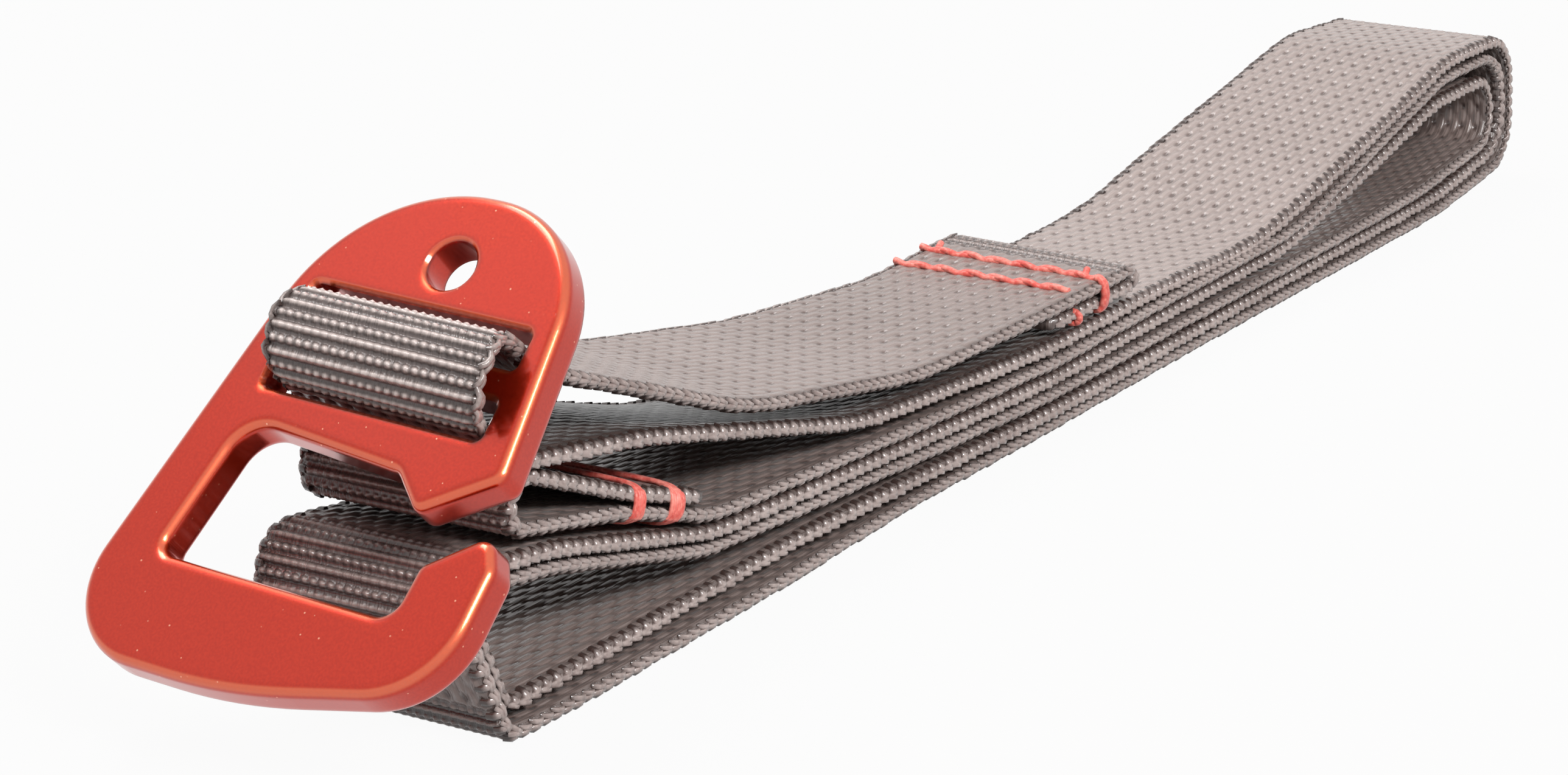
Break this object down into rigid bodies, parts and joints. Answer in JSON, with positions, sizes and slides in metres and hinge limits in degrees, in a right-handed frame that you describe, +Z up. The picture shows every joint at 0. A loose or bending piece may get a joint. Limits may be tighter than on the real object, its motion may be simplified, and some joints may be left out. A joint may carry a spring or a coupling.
{
  "type": "webbing accessory strap",
  "caption": "Folded webbing strap with an open hook buckle that tilts on the webbing, a sewn loop end and a stitched tail stop.",
  "frame": {"origin": "centre of the whole object's footprint, on the surface the folded strap lies on", "axes": "+X along the folded bundle from the buckle to the far folds, +Y across the webbing, +Z up"},
  "size_m": [0.22, 0.0348, 0.0387],
  "materials": {
    "anodised": "satin orange-red anodised, bead blasted",
    "webbing": "woven polyester webbing, warm grey",
    "thread": "coral red polyester sewing thread"
  },
  "bodies": {
    "strap": {"webbing": "webbing", "tail_stitch_outer": "thread", "tail_stitch_inner": "thread", "loop_tack_outer": "thread", "loop_tack_inner": "thread"},
    "buckle": {"hook_buckle": "anodised"}
  },
  "joints": [
    {"name": "buckle_pivot", "type": "hinge", "parent": "strap", "child": "buckle", "pos_m": [-0.08991, -0.00112, 0.02733], "axis": [-0.06, -0.998, -0.02], "range_deg": [-8, 8]}
  ]
}
